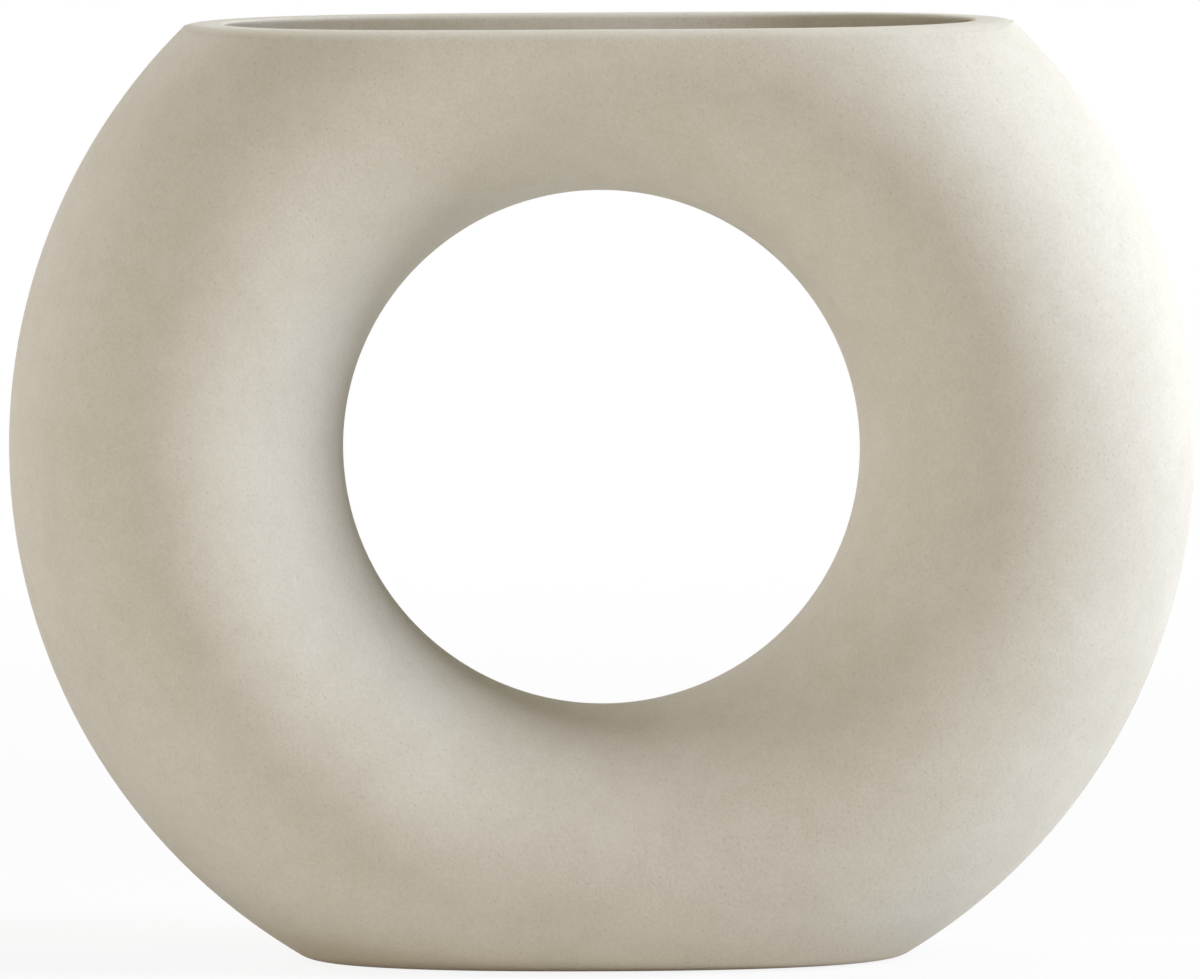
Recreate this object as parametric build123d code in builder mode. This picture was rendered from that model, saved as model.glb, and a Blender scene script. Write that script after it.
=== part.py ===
from build123d import *
import os
from math import acos, sqrt, tan

# A ring-shaped stoneware flower vase, in millimetres. The ring stands upright on a flat foot, its hole runs
# along Y, and its top is cut level to make a long open mouth. The wall is two moulded half shells, front and
# rear, that meet on the ring's mid-plane and stand on a base slab. Clay coils fill a groove on the inside of
# every seam, and a glaze lining over them makes the hollow watertight. The origin is the middle of the foot,
# on the table, +Z is up, and the front shell faces -Y.

# Form of the ring
overall_width = 250.0  # outer diameter
hole_diameter = 109.0
foot_cut = 17.0  # how much of the ring's bottom the flat foot takes off
mouth_cut = 35.0  # how much of its top the level mouth takes off
wall_thickness = 5.5

# Lip of the mouth
lip_outer_rounding = 1.8
lip_inner_rounding = 1.2

# Base slab and foot
base_thickness = 7.0
foot_rounding = 7.0
foot_ring_width = 8.0  # flat ring that the vase stands on
foot_recess_depth = 1.2
foot_recess_rounding = 0.8

# Coils on the inside of the seams
seam_coil_radius = 2.5
base_coil_depth = 2.5  # into the wall
base_coil_height = 3.0
limb_coil_gap = 2.0  # between the base coil and the limb coils
limb_coil_stop = 8.0  # how far below the lip the limb coils end
coil_clearance = 0.3  # round the coils, in their grooves

# Glaze lining of the hollow
glaze_thickness = 0.5
glaze_stop = 4.0  # how far below the lip the lining ends

# Sizes that follow from these
outer_radius = overall_width / 2
tube_radius = (overall_width - hole_diameter) / 4
ring_radius = (overall_width + hole_diameter) / 4
hollow_radius = tube_radius - wall_thickness
axis_height = outer_radius - foot_cut
mouth_height = axis_height + outer_radius - mouth_cut
floor_height = base_thickness + glaze_thickness
base_coil_top = base_thickness + base_coil_height
limb_coil_foot = base_coil_top + limb_coil_gap
limb_coil_top = mouth_height - limb_coil_stop
hole_axis = Axis((0, 0, axis_height), (0, 1, 0))
tube_plane = Plane.XY.offset(axis_height)


def level(height):
    """Horizontal plane at a height above the table."""
    return Plane.XY.offset(height)


def whole_ring(section_radius):
    """Ring about the hole's axis, with a round section."""
    with BuildPart() as ring:
        with BuildSketch(tube_plane):
            with Locations((ring_radius, 0)):
                Circle(section_radius)
        revolve(axis=hole_axis)
    return ring.part


def seam_ring(seat_radius, clearance):
    """Ring of coil sunk in the wall of the hollow, at a radius from the hole's axis."""
    with BuildPart() as coil:
        with BuildSketch(tube_plane):
            with Locations((seat_radius, 0)):
                Circle(seam_coil_radius - clearance)
            with Locations((ring_radius, 0)):
                Circle(hollow_radius, mode=Mode.SUBTRACT)
        revolve(axis=hole_axis)
    return coil.part


def base_coil(clearance):
    """Coil in the joint between the slab and the shells, sunk in the lower edge of the wall."""
    with BuildPart() as coil:
        add(whole_ring(hollow_radius + base_coil_depth - clearance))
        split(bisect_by=level(base_coil_top - clearance), keep=Keep.BOTTOM)
        split(bisect_by=level(base_thickness), keep=Keep.TOP)
        add(hollow_form, mode=Mode.SUBTRACT)
    return coil.part


def hole_coil(clearance):
    """Coil round the hole, a closed ring."""
    return seam_ring(ring_radius - hollow_radius, clearance)


def limb_coil(side, clearance):
    """Coil up one limb, from just above the base coil to just below the lip."""
    with BuildPart() as coil:
        add(seam_ring(ring_radius + hollow_radius, clearance))
        split(bisect_by=level(limb_coil_top - clearance), keep=Keep.BOTTOM)
        split(bisect_by=level(limb_coil_foot + clearance), keep=Keep.TOP)
        split(bisect_by=Plane.YZ, keep=side)
    return coil.part


def coils(clearance):
    """The four coils by name, slimmer than their grooves by a clearance."""
    return {
        "base_seam_coil": base_coil(clearance),
        "hole_seam_coil": hole_coil(clearance),
        "left_seam_coil": limb_coil(Keep.BOTTOM, clearance),
        "right_seam_coil": limb_coil(Keep.TOP, clearance),
    }


def write_piece(solid, name):
    """Labels a finished piece and writes it to its own file."""
    solid.label = name
    export_step(solid, f"parts/{name}.step")


os.makedirs("parts", exist_ok=True)
hollow_form = whole_ring(hollow_radius)

for coil_name, coil_solid in coils(coil_clearance).items():
    write_piece(coil_solid, coil_name)

# Outer form of the vase, with its flat foot rounded at the edge
with BuildPart() as footed_form:
    add(whole_ring(tube_radius))
    split(bisect_by=level(0), keep=Keep.TOP)
    foot = footed_form.faces().filter_by(Plane.XY).sort_by(Axis.Z)[0]
    fillet(foot.edges(), radius=foot_rounding)

# The foot's outline is set back by its rounding, and the recess under the slab by the foot ring as well
foot_half_length = sqrt(outer_radius**2 - axis_height**2)
foot_half_depth = sqrt(tube_radius**2 - (axis_height - ring_radius) ** 2)
end_lean = acos(axis_height / outer_radius)
front_lean = acos((axis_height - ring_radius) / tube_radius)
recess_half_length = foot_half_length - foot_rounding * tan(end_lean / 2) - foot_ring_width
recess_half_depth = foot_half_depth - foot_rounding * tan(front_lean / 2) - foot_ring_width

# Base slab: the bottom slice of the outer form, hollowed a little underneath
with BuildPart() as base_slab:
    add(footed_form.part)
    split(bisect_by=level(base_thickness), keep=Keep.BOTTOM)
    with BuildSketch(level(0)):
        Ellipse(recess_half_length, recess_half_depth)
    extrude(amount=foot_recess_depth, mode=Mode.SUBTRACT)
    recess_floor = base_slab.faces().filter_by(Plane.XY).sort_by(Axis.Z)[1]
    fillet(recess_floor.edges(), radius=foot_recess_rounding)
write_piece(base_slab.part, "base_slab")

# Wall of the vase above the slab, with its rounded lip and the grooves that the coils fill
with BuildPart() as ring_wall:
    add(footed_form.part)
    split(bisect_by=level(mouth_height), keep=Keep.BOTTOM)
    split(bisect_by=level(base_thickness), keep=Keep.TOP)
    add(hollow_form, mode=Mode.SUBTRACT)
    lip = ring_wall.faces().filter_by(Plane.XY).sort_by(Axis.Z)[-1]
    fillet(lip.outer_wire().edges(), radius=lip_outer_rounding)
    lip = ring_wall.faces().filter_by(Plane.XY).sort_by(Axis.Z)[-1]
    fillet(lip.inner_wires().edges(), radius=lip_inner_rounding)
    for groove in coils(0).values():
        add(groove, mode=Mode.SUBTRACT)

# The wall parts on the mid-plane of the ring into its two shells
with BuildPart() as front_shell:
    add(ring_wall.part)
    split(bisect_by=Plane.XZ, keep=Keep.TOP)
write_piece(front_shell.part, "front_shell")

with BuildPart() as rear_shell:
    add(ring_wall.part)
    split(bisect_by=Plane.XZ, keep=Keep.BOTTOM)
write_piece(rear_shell.part, "rear_shell")

# Glaze lining: a thin coat on the slab and up the wall that stops short of the lip
with BuildPart() as lined_space:
    add(whole_ring(hollow_radius - glaze_thickness))
    split(bisect_by=level(floor_height), keep=Keep.TOP)

with BuildPart() as interior_glaze:
    add(hollow_form)
    split(bisect_by=level(mouth_height - glaze_stop), keep=Keep.BOTTOM)
    split(bisect_by=level(base_thickness), keep=Keep.TOP)
    add(lined_space.part, mode=Mode.SUBTRACT)
write_piece(interior_glaze.part, "interior_glaze")
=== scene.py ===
from math import acos, pi, radians, sqrt, tan

import bmesh
import bpy
import numpy as np
from mathutils import Matrix, Vector


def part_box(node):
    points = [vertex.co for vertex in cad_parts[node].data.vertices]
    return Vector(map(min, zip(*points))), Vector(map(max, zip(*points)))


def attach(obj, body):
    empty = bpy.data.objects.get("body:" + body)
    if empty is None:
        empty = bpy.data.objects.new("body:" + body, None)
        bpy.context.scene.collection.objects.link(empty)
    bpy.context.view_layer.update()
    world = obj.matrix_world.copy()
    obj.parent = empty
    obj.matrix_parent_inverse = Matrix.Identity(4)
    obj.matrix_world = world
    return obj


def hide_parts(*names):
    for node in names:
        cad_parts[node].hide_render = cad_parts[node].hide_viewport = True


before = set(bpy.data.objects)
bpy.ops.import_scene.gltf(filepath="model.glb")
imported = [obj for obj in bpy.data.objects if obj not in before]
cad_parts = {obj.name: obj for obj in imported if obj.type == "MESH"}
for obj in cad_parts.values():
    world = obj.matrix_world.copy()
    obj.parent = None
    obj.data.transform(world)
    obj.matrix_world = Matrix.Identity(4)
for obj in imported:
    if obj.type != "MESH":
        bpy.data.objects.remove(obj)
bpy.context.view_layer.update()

# Sizes of the vase in metres, read from its solids
shell_low, shell_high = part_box("front_shell")
glaze_low, glaze_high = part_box("interior_glaze")
hole_low, hole_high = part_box("hole_seam_coil")
limb_low, limb_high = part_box("left_seam_coil")
outer_radius = (shell_high.x - shell_low.x) / 2
tube_radius = -shell_low.y
ring_radius = outer_radius - tube_radius
hollow_radius = glaze_high.y
axis_height = (hole_low.z + hole_high.z) / 2
mouth_height = shell_high.z
base_top = shell_low.z
glaze_top = glaze_high.z
glaze_bottom = glaze_low.z
glaze_thickness = 0.0005
lip_outer_rounding = 0.0018
lip_inner_rounding = 0.0012
foot_rounding = 0.007
foot_ring_width = 0.008
foot_recess_depth = 0.0012
foot_recess_rounding = 0.0008
seam_coil_radius = 0.0025
base_coil_depth = 0.0025
coil_clearance = 0.0003
limb_groove_foot = limb_low.z - coil_clearance
limb_groove_top = limb_high.z + coil_clearance
base_groove_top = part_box("base_seam_coil")[1].z + coil_clearance

# How finely the ring is divided: columns in half a turn, by the part of the outline that they end on, and
# rows from the hole round to the outside
mouth_columns = 38
limb_columns = 54
foot_columns = 36
half_columns = mouth_columns + limb_columns + foot_columns
rows = 60
edge_row = 0.0001  # width of the row along a seam, which keeps the shading even there
lip_row = 0.0030  # width of the row along the lip, which its rounding takes up
blend_columns = 8  # over which one width passes into the other
groove_rows = 24  # round the section of a coil's groove

# Heights at which the finish changes, the foot darkens and the lip's painted highlight begins
foot_darkening_top = 0.011
lip_highlight_depth = 0.0022
bare_clay_top = 0.0016
glaze_pool_top = 0.03

# Studio: places in metres and degrees. The camera stands far off behind a long lens.
floor_size = 30
floor_gap = 0.0002  # keeps the floor's face apart from the foot's
shadow_reach = 0.2  # from here on the floor turns to plain white
white_reach = 0.9
lamp_distance = 1.8
camera_azimuth = 1.082
camera_elevation = 5.036
camera_distance = 2.8357
camera_roll = -0.0066  # in radians
camera_lens = 403.3  # in millimetres
sensor_width = 36  # in millimetres
aim_left = 0.00028  # of the ring's centre
aim_below = 0.00889


def deselect_all():
    """Leaves nothing selected, in object mode."""
    bpy.ops.object.select_all(action="DESELECT")


def pick(*pieces):
    """Selects these pieces alone, the first one active."""
    deselect_all()
    for piece in pieces:
        piece.select_set(True)
    bpy.context.view_layer.objects.active = pieces[0]


def select_edges(piece, wanted):
    """In edit mode, selects the edges for which a test holds."""
    bpy.ops.mesh.select_mode(type="EDGE")
    bpy.ops.mesh.select_all(action="DESELECT")
    grid = bmesh.from_edit_mesh(piece.data)
    for edge in grid.edges:
        if wanted(edge):
            edge.select_set(True)
    bmesh.update_edit_mesh(piece.data)


def section_distance(point):
    """Distance of a point from the middle of the ring's round section."""
    across = sqrt(point.x**2 + (point.z - axis_height) ** 2) - ring_radius
    return sqrt(across**2 + point.y**2)


def on_edge(edge, height, section_radius):
    """Whether an edge runs along a ring's level cut at a height."""
    close = 0.00001
    return all(
        abs(v.co.z - height) < close and abs(section_distance(v.co) - section_radius) < close
        for v in edge.verts
    )


def outline_angle(column, top_corner, bottom_corner):
    """Angle from the top of the ring at which a column meets the outline, closest near its corners."""
    mouth_part = column / mouth_columns
    limb_part = (column - mouth_columns) / limb_columns
    foot_part = (column - mouth_columns - limb_columns) / foot_columns
    mouth_angle = top_corner * mouth_part * (2 - mouth_part)
    limb_angle = top_corner + (bottom_corner - top_corner) * limb_part
    foot_angle = bottom_corner + (pi - bottom_corner) * foot_part**2
    return np.where(limb_part < 0, mouth_angle, np.where(foot_part < 0, limb_angle, foot_angle))


def on_ring(section_radius, angle, section_angle):
    """Points on a ring, by the angle from its top and the angle round its section from the hole."""
    reach = ring_radius - section_radius * np.cos(section_angle)
    x = reach * np.sin(angle)
    y = -section_radius * np.sin(section_angle)
    z = axis_height + reach * np.cos(angle)
    return np.stack([x, y, z], axis=-1)


def add_ring(path_radius, section_radius, section_rows):
    """Adds a whole ring about the hole's axis, with a round section."""
    deselect_all()
    bpy.ops.mesh.primitive_torus_add(
        major_segments=2 * half_columns,
        minor_segments=section_rows,
        major_radius=path_radius,
        minor_radius=section_radius,
        location=(0, 0, axis_height),
        rotation=(pi / 2, 0, 0),
    )
    bpy.ops.object.transform_apply(location=True, rotation=True, scale=True)
    return bpy.context.object


def keep_front():
    """In edit mode, cuts what is selected on the seam and takes the rear half away."""
    middle = (0, 0, axis_height)
    bpy.ops.mesh.bisect(plane_co=middle, plane_no=(0, 1, 0), clear_outer=True, threshold=0.00001)


def half_ring(name, section_radius, top, bottom):
    """Front half of a ring with a round section, cut level at the mouth and at the base.

    The rows of a torus are slid along it until the last one lies on the cuts: no face is cut through.
    """
    ring = add_ring(ring_radius, section_radius, 2 * rows)
    ring.name = ring.data.name = name
    bpy.ops.object.mode_set(mode="EDIT")
    bpy.ops.mesh.select_all(action="SELECT")
    keep_front()
    bpy.ops.object.mode_set(mode="OBJECT")

    points = np.empty(3 * len(ring.data.vertices), dtype=np.float32)
    ring.data.vertices.foreach_get("co", points)
    x, y, z = points.astype(float).reshape(-1, 3).T
    even_angle = np.arctan2(x, z - axis_height)
    side = np.sign(even_angle)
    even_angle = np.abs(even_angle)
    section_angle = np.abs(np.arctan2(-y, ring_radius - np.hypot(x, z - axis_height)))
    column = np.round(even_angle / pi * half_columns)
    row = np.round(section_angle / pi * rows)

    reach = ring_radius + section_radius
    top_corner = acos((top - axis_height) / reach)
    bottom_corner = pi - acos((axis_height - bottom) / reach)
    cut_angle = outline_angle(column, top_corner, bottom_corner)
    cut_reach = np.full(len(x), reach)
    at_mouth = column < mouth_columns
    at_foot = column > mouth_columns + limb_columns
    cut_reach[at_mouth] = (top - axis_height) / np.cos(cut_angle[at_mouth])
    cut_reach[at_foot] = (bottom - axis_height) / np.cos(cut_angle[at_foot])
    last_angle = np.arccos(np.clip((ring_radius - cut_reach) / section_radius, -1, 1))

    along_limb = np.clip((column - mouth_columns) / blend_columns, 0, 1)
    last_row = lip_row + (edge_row - lip_row) * along_limb
    first_share = edge_row / (last_angle * section_radius)
    last_share = last_row / (last_angle * section_radius)
    share = first_share + (1 - first_share - last_share) * (row - 1) / (rows - 2)
    share = np.where(row == 0, 0, np.where(row == rows, 1, share))
    angle = side * (even_angle + (cut_angle - even_angle) * share)
    moved = on_ring(section_radius, angle, share * last_angle)
    moved[row == 0, 1] = 0
    moved[(row == rows) & ~at_mouth & ~at_foot, 1] = 0
    ring.data.vertices.foreach_set("co", moved.astype(np.float32).ravel())
    ring.data.update()
    return ring


def finish_mesh(piece, name, smooth_angle=35):
    """Names a piece, merges its doubles, turns its faces outwards and smooths its round faces."""
    pick(piece)
    piece.name = piece.data.name = name
    bpy.ops.object.mode_set(mode="EDIT")
    bpy.ops.mesh.select_all(action="SELECT")
    bpy.ops.mesh.remove_doubles(threshold=0.000001)
    bpy.ops.mesh.normals_make_consistent(inside=False)
    bpy.ops.object.mode_set(mode="OBJECT")
    bpy.ops.object.shade_smooth_by_angle(angle=radians(smooth_angle))
    return piece


def join_skins(outer, inner):
    """Makes one piece of two skins, the inner one turned to face its hollow, and goes into edit mode."""
    pick(inner)
    bpy.ops.object.mode_set(mode="EDIT")
    bpy.ops.mesh.select_all(action="SELECT")
    bpy.ops.mesh.flip_normals()
    bpy.ops.object.mode_set(mode="OBJECT")
    pick(outer, inner)
    bpy.ops.object.join()
    bpy.ops.object.mode_set(mode="EDIT")


def add_rear_half(piece):
    """Mirrors a front half over the seam, merges the two and comes back to edit mode."""
    bpy.ops.object.mode_set(mode="OBJECT")
    mirror = piece.modifiers.new("rear_half", "MIRROR")
    mirror.use_axis = (False, True, False)
    mirror.merge_threshold = 0.000005
    bpy.ops.object.modifier_apply(modifier=mirror.name)
    bpy.ops.object.mode_set(mode="EDIT")


def press_groove(shell, path_radius, section_radius, bottom, top):
    """Sinks a ring with a round section, level at both ends, into a shell."""
    coil = add_ring(path_radius, section_radius, groove_rows)
    bpy.ops.object.mode_set(mode="EDIT")
    for height, outside in ((bottom, -1), (top, 1)):
        bpy.ops.mesh.select_all(action="SELECT")
        level, away = (0, 0, height), (0, 0, outside)
        bpy.ops.mesh.bisect(plane_co=level, plane_no=away, use_fill=True, clear_outer=True)
    bpy.ops.object.mode_set(mode="OBJECT")
    pick(shell)
    groove = shell.modifiers.new("groove", "BOOLEAN")
    groove.operation = "DIFFERENCE"
    groove.object = coil
    bpy.ops.object.modifier_apply(modifier=groove.name)
    pick(coil)
    bpy.ops.object.delete()


def shell_front():
    """The front shell: two skins of the wall, joined, rounded at the lip and then cut on the seam."""
    shell = half_ring("outer_skin", tube_radius, mouth_height, base_top)
    inner = half_ring("inner_skin", hollow_radius, mouth_height, base_top)
    join_skins(shell, inner)
    for height in (mouth_height, base_top):
        select_edges(
            shell,
            lambda edge: any(on_edge(edge, height, radius) for radius in (tube_radius, hollow_radius)),
        )
        bpy.ops.mesh.bridge_edge_loops()
    add_rear_half(shell)
    select_edges(shell, lambda edge: on_edge(edge, mouth_height, tube_radius))
    bpy.ops.mesh.bevel(offset=lip_outer_rounding, segments=6, profile=0.5, affect="EDGES")
    select_edges(shell, lambda edge: on_edge(edge, mouth_height, hollow_radius))
    bpy.ops.mesh.bevel(offset=lip_inner_rounding, segments=5, profile=0.5, affect="EDGES")
    bpy.ops.object.mode_set(mode="OBJECT")
    press_groove(shell, ring_radius - hollow_radius, seam_coil_radius, 0, mouth_height)
    press_groove(shell, ring_radius + hollow_radius, seam_coil_radius, limb_groove_foot, limb_groove_top)
    press_groove(shell, ring_radius, hollow_radius + base_coil_depth, base_top / 2, base_groove_top)
    pick(shell)
    bpy.ops.object.mode_set(mode="EDIT")
    bpy.ops.mesh.select_all(action="SELECT")
    keep_front()

    def round_hole(edge):
        reach = [Vector((v.co.x, v.co.z - axis_height)).length for v in edge.verts]
        return edge.is_boundary and max(reach) < ring_radius

    select_edges(shell, round_hole)
    bpy.ops.mesh.bridge_edge_loops()
    for side in (-1, 1):
        select_edges(shell, lambda edge: edge.is_boundary and edge.verts[0].co.x * side > 0)
        bpy.ops.mesh.edge_face_add()
    bpy.ops.object.mode_set(mode="OBJECT")
    return finish_mesh(shell, "vase_front")


def shell_rear(front):
    """The rear shell: the front one turned over the seam."""
    pick(front)
    bpy.ops.object.duplicate()
    rear = bpy.context.object
    rear.scale.y = -1
    bpy.ops.object.transform_apply(location=False, rotation=False, scale=True)
    return finish_mesh(rear, "vase_rear")


def slab_loops():
    """Outlines of the base slab as closed loops of points, from its top down and in under the foot."""
    reach = ring_radius + tube_radius
    drop = axis_height - base_top
    corner = acos(drop / reach)
    part = np.linspace(0, 1, foot_columns + 1)
    lean = corner * (1 - part**2)
    top_angle = pi - lean
    top_section = np.arccos((ring_radius - drop / np.cos(lean)) / tube_radius)

    # A ball as large as the foot's rounding rolls along the inside of the edge
    ball_section = tube_radius - foot_rounding
    ball_drop = axis_height - foot_rounding
    ball_corner = acos(ball_drop / (ring_radius + ball_section))
    ball_lean = ball_corner * (1 - part**2)
    ball_angle = pi - ball_lean
    touch_reach = ball_drop / np.cos(ball_lean)
    touch_section = np.arccos(np.clip((ring_radius - touch_reach) / ball_section, -1, 1))
    centre = on_ring(ball_section, ball_angle, touch_section)
    outward = (on_ring(tube_radius, ball_angle, touch_section) - centre) / foot_rounding
    downward = np.array([0.0, 0.0, -1.0])

    quarters = []
    for share in (0, 0.04, 0.35, 0.7, 1):
        angle = top_angle + (ball_angle - top_angle) * share
        section = top_section + (touch_section - top_section) * share
        quarters.append(on_ring(tube_radius, angle, section))
    bend = np.arccos(np.clip(outward @ downward, -1, 1))[:, None]
    for share in np.linspace(0, 1, 11)[1:]:
        mixed = np.sin((1 - share) * bend) * outward + np.sin(share * bend) * downward
        quarters.append(centre + foot_rounding * mixed / np.sin(bend))

    half_length = sqrt(outer_radius**2 - axis_height**2)
    half_depth = sqrt(tube_radius**2 - (axis_height - ring_radius) ** 2)
    end_lean = acos(axis_height / outer_radius)
    front_lean = acos((axis_height - ring_radius) / tube_radius)
    recess_length = half_length - foot_rounding * tan(end_lean / 2) - foot_ring_width
    recess_depth = half_depth - foot_rounding * tan(front_lean / 2) - foot_ring_width
    flat = quarters[-1]
    round_foot = np.arctan2(flat[:, 1] / half_depth, flat[:, 0] / half_length)
    wall_top = foot_recess_depth - foot_recess_rounding
    inner_steps = [(0, 0), (0, wall_top)]
    for turn in np.linspace(0, pi / 2, 6)[1:]:
        inset = foot_recess_rounding * (1 - np.cos(turn))
        inner_steps.append((inset, wall_top + foot_recess_rounding * np.sin(turn)))
    for inset, height in inner_steps:
        x = (recess_length - inset) * np.cos(round_foot)
        y = (recess_depth - inset) * np.sin(round_foot)
        quarters.append(np.stack([x, y, np.full_like(x, height)], axis=-1))

    loops = []
    for quarter in quarters:
        mirrored = quarter * [-1, 1, 1]
        front = np.concatenate([quarter, mirrored[-2::-1]])
        rear = front * [1, -1, 1]
        loop = np.concatenate([front, rear[-2:0:-1]])
        loop[0, 1] = loop[len(front) - 1, 1] = 0
        loops.append(loop)
    return loops


def slab():
    """The base slab: a loop extruded down the wall, round the foot's edge and up into the recess."""
    loops = slab_loops()
    deselect_all()
    bpy.ops.mesh.primitive_circle_add(vertices=len(loops[0]), radius=outer_radius, fill_type="NOTHING")
    piece = bpy.context.object
    bpy.ops.object.mode_set(mode="EDIT")
    grid = bmesh.from_edit_mesh(piece.data)
    grid.verts.ensure_lookup_table()
    for vertex, point in zip(grid.verts, loops[0]):
        vertex.co = point
    for loop in loops[1:]:
        bpy.ops.mesh.extrude_edges_move()
        grid = bmesh.from_edit_mesh(piece.data)
        grid.verts.ensure_lookup_table()
        for vertex, point in zip(grid.verts[-len(loop):], loop):
            vertex.co = point
    bpy.ops.mesh.edge_face_add()
    select_edges(piece, lambda edge: edge.is_boundary)
    bpy.ops.mesh.edge_face_add()
    bpy.ops.object.mode_set(mode="OBJECT")
    return finish_mesh(piece, "vase_base")


def lining():
    """The glaze lining: two skins of the hollow, joined at the rim and mirrored, with a floor in each."""
    face_radius = hollow_radius - glaze_thickness
    face_bottom = glaze_bottom + glaze_thickness
    inner = half_ring("glaze_face", face_radius, glaze_top, face_bottom)
    outer = half_ring("glaze_back", hollow_radius, glaze_top, glaze_bottom)
    join_skins(outer, inner)
    select_edges(
        outer,
        lambda edge: any(on_edge(edge, glaze_top, radius) for radius in (hollow_radius, face_radius)),
    )
    bpy.ops.mesh.bridge_edge_loops()
    add_rear_half(outer)
    for floor in (glaze_bottom, face_bottom):
        select_edges(outer, lambda edge: edge.is_boundary and abs(edge.verts[0].co.z - floor) < 0.0001)
        bpy.ops.mesh.edge_face_add()
    bpy.ops.object.mode_set(mode="OBJECT")
    return finish_mesh(outer, "vase_lining")


class Socket:
    """An output of a node in a material. Sums and products of sockets and numbers become Math nodes."""

    def __init__(self, tree, output=None):
        self.tree = tree
        self.output = output

    def node(self, kind, settings=None, sockets=None, output=0):
        """Adds a node, fills in its settings and then its sockets, and gives one of its outputs."""
        made = self.tree.nodes.new("ShaderNode" + kind)
        for name, value in (settings or {}).items():
            setattr(made, name, value)
        for name, value in (sockets or {}).items():
            if isinstance(value, Socket):
                self.tree.links.new(value.output, made.inputs[name])
            else:
                made.inputs[name].default_value = value
        return Socket(self.tree, made.outputs[output])

    def math(self, operation, first, second):
        return self.node("Math", {"operation": operation}, {0: first, 1: second})

    def __add__(self, other):
        return self.math("ADD", self, other)

    __radd__ = __add__

    def __sub__(self, other):
        return self.math("SUBTRACT", self, other)

    def __rsub__(self, other):
        return self.math("SUBTRACT", other, self)

    def __mul__(self, other):
        return self.math("MULTIPLY", self, other)

    __rmul__ = __mul__

    def between(self, low, high):
        """Share of the way from one value to another, eased and kept from 0 to 1."""
        ends = {"Value": self, "From Min": low, "From Max": high}
        return self.node("MapRange", {"interpolation_type": "SMOOTHSTEP"}, ends)

    def blend(self, first, second):
        """Colour between two others, by this share."""
        return self.node("Mix", {"data_type": "RGBA"}, {0: self, 6: first, 7: second}, output=2)

    def times(self, colour, share):
        """This colour multiplied by another one, by a share."""
        return self.node(
            "Mix", {"data_type": "RGBA", "blend_type": "MULTIPLY"}, {0: share, 6: self, 7: colour}, output=2
        )


def new_material(name):
    """An empty material, with a start for its nodes and its shader."""
    material = bpy.data.materials.new(name)
    material.use_nodes = True
    shader = material.node_tree.nodes["Principled BSDF"]
    start = Socket(material.node_tree)
    return material, start, shader


def link(start, value, shader, socket):
    """Feeds a shader's socket."""
    start.tree.links.new(value.output, shader.inputs[socket])


def grey(value):
    """A colour of equal parts, with its alpha."""
    return (value, value, value, 1)


def stoneware(name, pale, deep, bare_underside=False):
    """Matte sand-coloured stoneware: soft clouds of tone, fine sand grain, a foot that turns darker and
    warmer towards the bottom, and a lip painted paler as a painted highlight.
    """
    material, start, shader = new_material(name)
    place = start.node("TexCoord", output="Object")
    height = start.node("SeparateXYZ", sockets={0: place}, output="Z")
    clouds = start.node("TexNoise", sockets={"Vector": place, "Scale": 24, "Detail": 3, "Roughness": 0.55})
    mottle = start.node("TexNoise", sockets={"Vector": place, "Scale": 150, "Detail": 4, "Roughness": 0.72})
    grain = start.node("TexNoise", sockets={"Vector": place, "Scale": 1500, "Detail": 2, "Roughness": 0.6})
    sand = start.node("TexVoronoi", sockets={"Vector": place, "Scale": 620}, output="Distance")
    speck = 1 - sand.between(0.1, 0.24)

    tone = (0.55 * clouds + 0.45 * mottle).between(0.3, 0.7)
    colour = tone.blend(deep, pale)
    colour = colour.times((0.86, 0.84, 0.8, 1), speck * 0.45)
    colour = colour.times(grey(0.9), grain.between(0.62, 0.4) * 0.5)
    # Darker and warmer towards the foot over its lowest 11 mm, patchy with the mottle
    foot_edge = 1 - height.between(0, foot_darkening_top)
    colour = colour.times((0.94, 0.91, 0.84, 1), foot_edge * (0.6 + 0.4 * mottle))
    # Painted highlight: the lip and a thin band just below it are painted paler, as light from above would
    # make them
    lip_highlight = height.between(mouth_height - lip_highlight_depth, mouth_height)
    colour = (lip_highlight * 0.35).blend(colour, (0.74, 0.69, 0.61, 1))
    if bare_underside:
        under = 1 - height.between(0, bare_clay_top)
        clay = mottle.blend((0.44, 0.36, 0.27, 1), (0.56, 0.48, 0.38, 1))
        colour = (under * 0.85).blend(colour, clay.times(grey(0.8), speck))
    link(start, colour, shader, "Base Color")

    link(start, 0.82 + 0.12 * grain, shader, "Roughness")
    relief = grain * 0.5 + mottle * 0.35 - speck * 0.25
    bump = start.node("Bump", sockets={"Strength": 0.35, "Distance": 0.00025, "Height": relief})
    link(start, bump, shader, "Normal")
    return material


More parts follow.
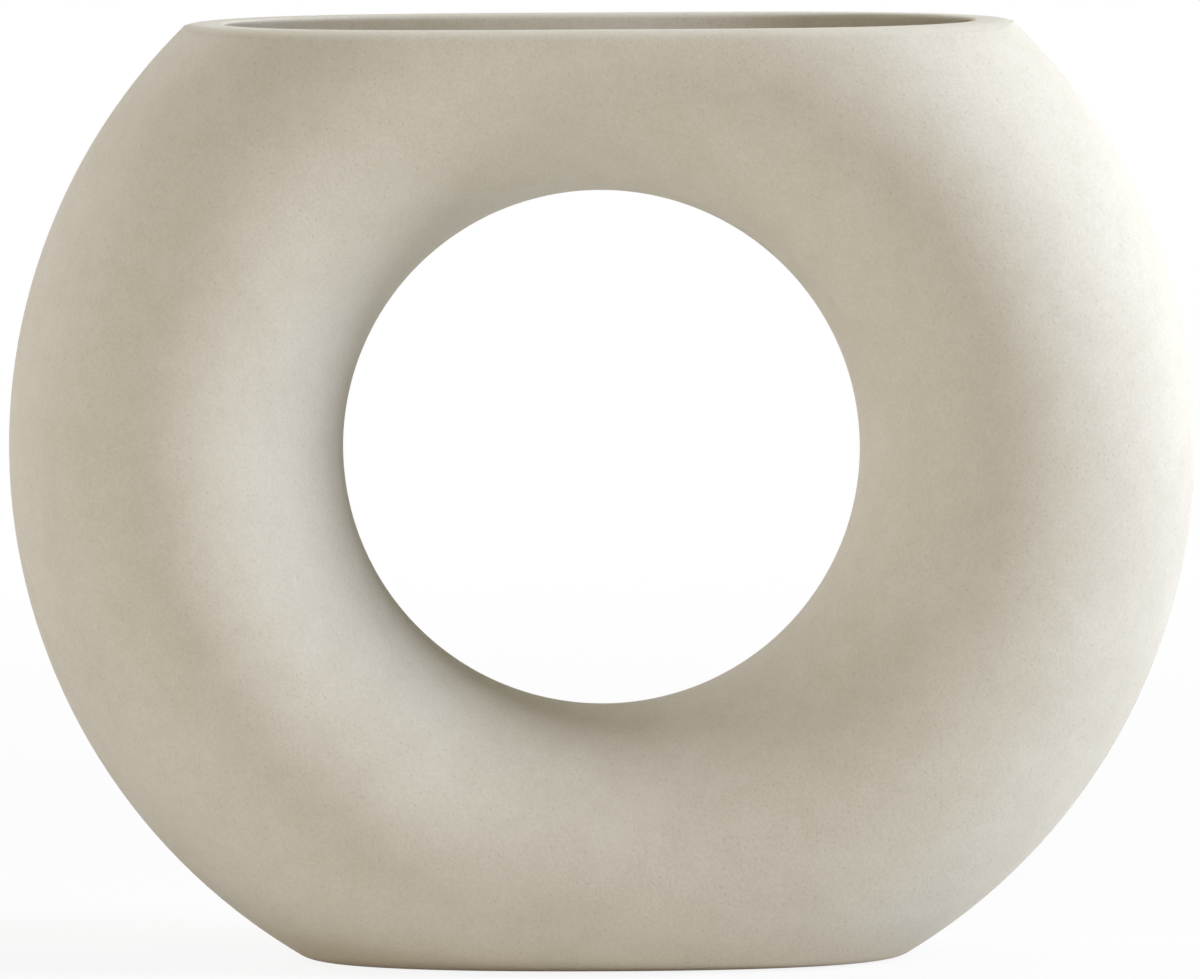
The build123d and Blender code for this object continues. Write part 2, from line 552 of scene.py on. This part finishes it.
def lining_glaze(name):
    """Satin glaze of the hollow: deeper where it pools on the floor."""
    material, start, shader = new_material(name)
    place = start.node("TexCoord", output="Object")
    height = start.node("SeparateXYZ", sockets={0: place}, output="Z")
    clouds = start.node("TexNoise", sockets={"Vector": place, "Scale": 45, "Detail": 4, "Roughness": 0.6})
    runs = start.node("Mapping", sockets={"Vector": place, "Scale": (260, 260, 14)})
    runs = start.node("TexNoise", sockets={"Vector": runs, "Scale": 1, "Detail": 3})
    craters = start.node("TexVoronoi", sockets={"Vector": place, "Scale": 300}, output="Distance")
    pinhole = 1 - craters.between(0.03, 0.09)

    tone = (0.6 * clouds + 0.4 * runs).between(0.3, 0.7)
    colour = tone.blend((0.6, 0.55, 0.46, 1), (0.69, 0.64, 0.55, 1))
    pool = 1 - height.between(glaze_bottom, glaze_pool_top)
    colour = colour.times((0.9, 0.87, 0.8, 1), pool * 0.8)
    colour = colour.times(grey(0.7), pinhole * 0.6)
    link(start, colour, shader, "Base Color")
    link(start, 0.34 + 0.16 * clouds + 0.2 * pinhole, shader, "Roughness")
    relief = runs * 0.6 + clouds * 0.4 - pinhole * 0.5
    bump = start.node("Bump", sockets={"Strength": 0.3, "Distance": 0.0003, "Height": relief})
    link(start, bump, shader, "Normal")
    shader.inputs["Specular IOR Level"].default_value = 0.5
    return material


def seam_clay(name):
    """Bare fired clay of the coils, with finger marks and coarse sand."""
    material, start, shader = new_material(name)
    place = start.node("TexCoord", output="Object")
    marks = start.node("TexNoise", sockets={"Vector": place, "Scale": 130, "Detail": 3})
    grain = start.node("TexNoise", sockets={"Vector": place, "Scale": 1300, "Detail": 2})
    sand = start.node("TexVoronoi", sockets={"Vector": place, "Scale": 520}, output="Distance")
    speck = 1 - sand.between(0.12, 0.28)
    colour = marks.blend((0.47, 0.4, 0.31, 1), (0.57, 0.5, 0.41, 1))
    colour = colour.times((0.75, 0.7, 0.64, 1), speck * 0.6)
    link(start, colour, shader, "Base Color")
    link(start, 0.86 + 0.1 * grain, shader, "Roughness")
    relief = marks + grain * 0.5 - speck * 0.4
    bump = start.node("Bump", sockets={"Strength": 0.5, "Distance": 0.0004, "Height": relief})
    link(start, bump, shader, "Normal")
    return material


def dress(piece, material, slot, *nodes):
    """Gives a piece its material and seats it on the vase in place of its solid."""
    piece.data.materials.clear()
    piece.data.materials.append(material)
    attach(piece, "root")
    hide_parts(*nodes)


def seen(start):
    """1 for what is looked at, straight or in a reflection, and 0 for what only lights the vase."""
    camera = start.node("LightPath", output="Is Camera Ray")
    glossy = start.node("LightPath", output="Is Glossy Ray")
    transmission = start.node("LightPath", output="Is Transmission Ray")
    return camera + glossy + transmission


def studio_floor():
    """A wide pale floor that shows white to the camera and keeps the soft shadow of the vase."""
    deselect_all()
    bpy.ops.mesh.primitive_plane_add(size=floor_size, location=(0, 0, -floor_gap))
    floor = bpy.context.object
    floor.name = "studio_floor"
    bpy.ops.object.transform_apply(location=True, rotation=True, scale=True)
    material, start, shader = new_material("pale_floor")
    shader.inputs["Base Color"].default_value = (0.8, 0.79, 0.77, 1)
    shader.inputs["Roughness"].default_value = 0.9
    shader.inputs["Specular IOR Level"].default_value = 0.1
    glow = start.node("Emission", sockets={"Color": (1, 1, 1, 1), "Strength": 1})
    body = Socket(start.tree, shader.outputs[0])
    place = start.node("TexCoord", output="Object")
    from_vase = start.node("VectorMath", {"operation": "LENGTH"}, {0: place}, output="Value")
    far = from_vase.between(shadow_reach, white_reach)
    mix = start.node("MixShader", sockets={0: seen(start) * (0.88 + 0.12 * far), 1: body, 2: glow})
    output = start.tree.nodes["Material Output"]
    start.tree.links.new(mix.output, output.inputs["Surface"])
    floor.data.materials.append(material)


def surroundings(colour, strength):
    """Even light from all round, behind a white backdrop."""
    world = bpy.data.worlds.new("studio")
    bpy.context.scene.world = world
    world.use_nodes = True
    tree = world.node_tree
    start = Socket(tree)
    light = tree.nodes["Background"]
    light.inputs["Color"].default_value = (*colour, 1)
    light.inputs["Strength"].default_value = strength
    white = start.node("Background", sockets={"Color": (1, 1, 1, 1), "Strength": 1})
    mix = start.node("MixShader", sockets={0: seen(start), 1: Socket(tree, light.outputs[0]), 2: white})
    tree.links.new(mix.output, tree.nodes["World Output"].inputs["Surface"])


def direction(azimuth, elevation):
    """Unit vector from the vase, by degrees round from the front to the right and degrees up."""
    turn = Matrix.Rotation(radians(azimuth), 3, "Z") @ Matrix.Rotation(-radians(elevation), 3, "X")
    return turn @ Vector((0, -1, 0))


def soft_lamp(name, azimuth, elevation, size, power, colour):
    """A square soft box that faces the middle of the vase."""
    bpy.ops.object.light_add(type="AREA")
    lamp = bpy.context.object
    lamp.name = name
    lamp.data.size = size
    lamp.data.energy = power
    lamp.data.color = colour
    lamp.visible_camera = False
    away = direction(azimuth, elevation)
    lamp.location = Vector((0, 0, axis_height)) + away * lamp_distance
    lamp.rotation_euler = away.to_track_quat("Z", "Y").to_euler()


def photo_camera():
    """The camera at the photograph's angle, far off behind a long lens."""
    middle = Vector((0, 0, axis_height))
    away = direction(camera_azimuth, camera_elevation)
    right = Vector((0, 0, 1)).cross(away).normalized()
    upward = away.cross(right)
    right, upward = right + camera_roll * upward, upward - camera_roll * right
    eye = middle + away * camera_distance
    aim = middle - right * aim_left - upward * aim_below
    back = (eye - aim).normalized()
    right = upward.cross(back).normalized()
    upward = back.cross(right)
    bpy.ops.object.camera_add()
    camera = bpy.context.object
    camera.name = "photo_camera"
    camera.matrix_world = Matrix.Translation(eye) @ Matrix((right, upward, back)).transposed().to_4x4()
    camera.data.sensor_width = sensor_width
    camera.data.lens = camera_lens
    camera.data.clip_end = 100
    bpy.context.scene.camera = camera


# Materials and pieces of the vase
sand_pale = (0.66, 0.612, 0.525, 1)
sand_deep = (0.6, 0.548, 0.455, 1)
body_stoneware = stoneware("sand_stoneware", sand_pale, sand_deep)
foot_stoneware = stoneware("foot_stoneware", sand_pale, sand_deep, bare_underside=True)
coil_clay = seam_clay("seam_clay")
liner_glaze = lining_glaze("liner_glaze")

front = shell_front()
rear = shell_rear(front)
base = slab()
liner = lining()
dress(front, body_stoneware, "sand_stoneware", "front_shell")
dress(rear, body_stoneware, "sand_stoneware", "rear_shell")
dress(base, foot_stoneware, "foot_stoneware", "base_slab")
dress(liner, liner_glaze, "liner_glaze", "interior_glaze")
for coil in ("left_seam_coil", "right_seam_coil", "hole_seam_coil", "base_seam_coil"):
    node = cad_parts[coil]
    node.data.materials.clear()
    node.data.materials.append(coil_clay)

# Studio
studio_floor()
surroundings(colour=(1, 0.98, 0.95), strength=0.05)
soft_lamp("key", azimuth=82, elevation=25, size=0.4, power=40.5, colour=(0.8, 0.865, 1))
soft_lamp("front_fill", azimuth=-30, elevation=5, size=1, power=12.6, colour=(1, 0.88, 0.62))
soft_lamp("left_fill", azimuth=-60, elevation=30, size=1, power=6.6, colour=(0.74, 0.8, 1))
soft_lamp("rear_left", azimuth=-120, elevation=30, size=1, power=12, colour=(0.98, 1, 1))
soft_lamp("rear_right", azimuth=120, elevation=60, size=1, power=8, colour=(1, 0.99, 0.72))
photo_camera()
bpy.context.scene.view_settings.view_transform = "Standard"
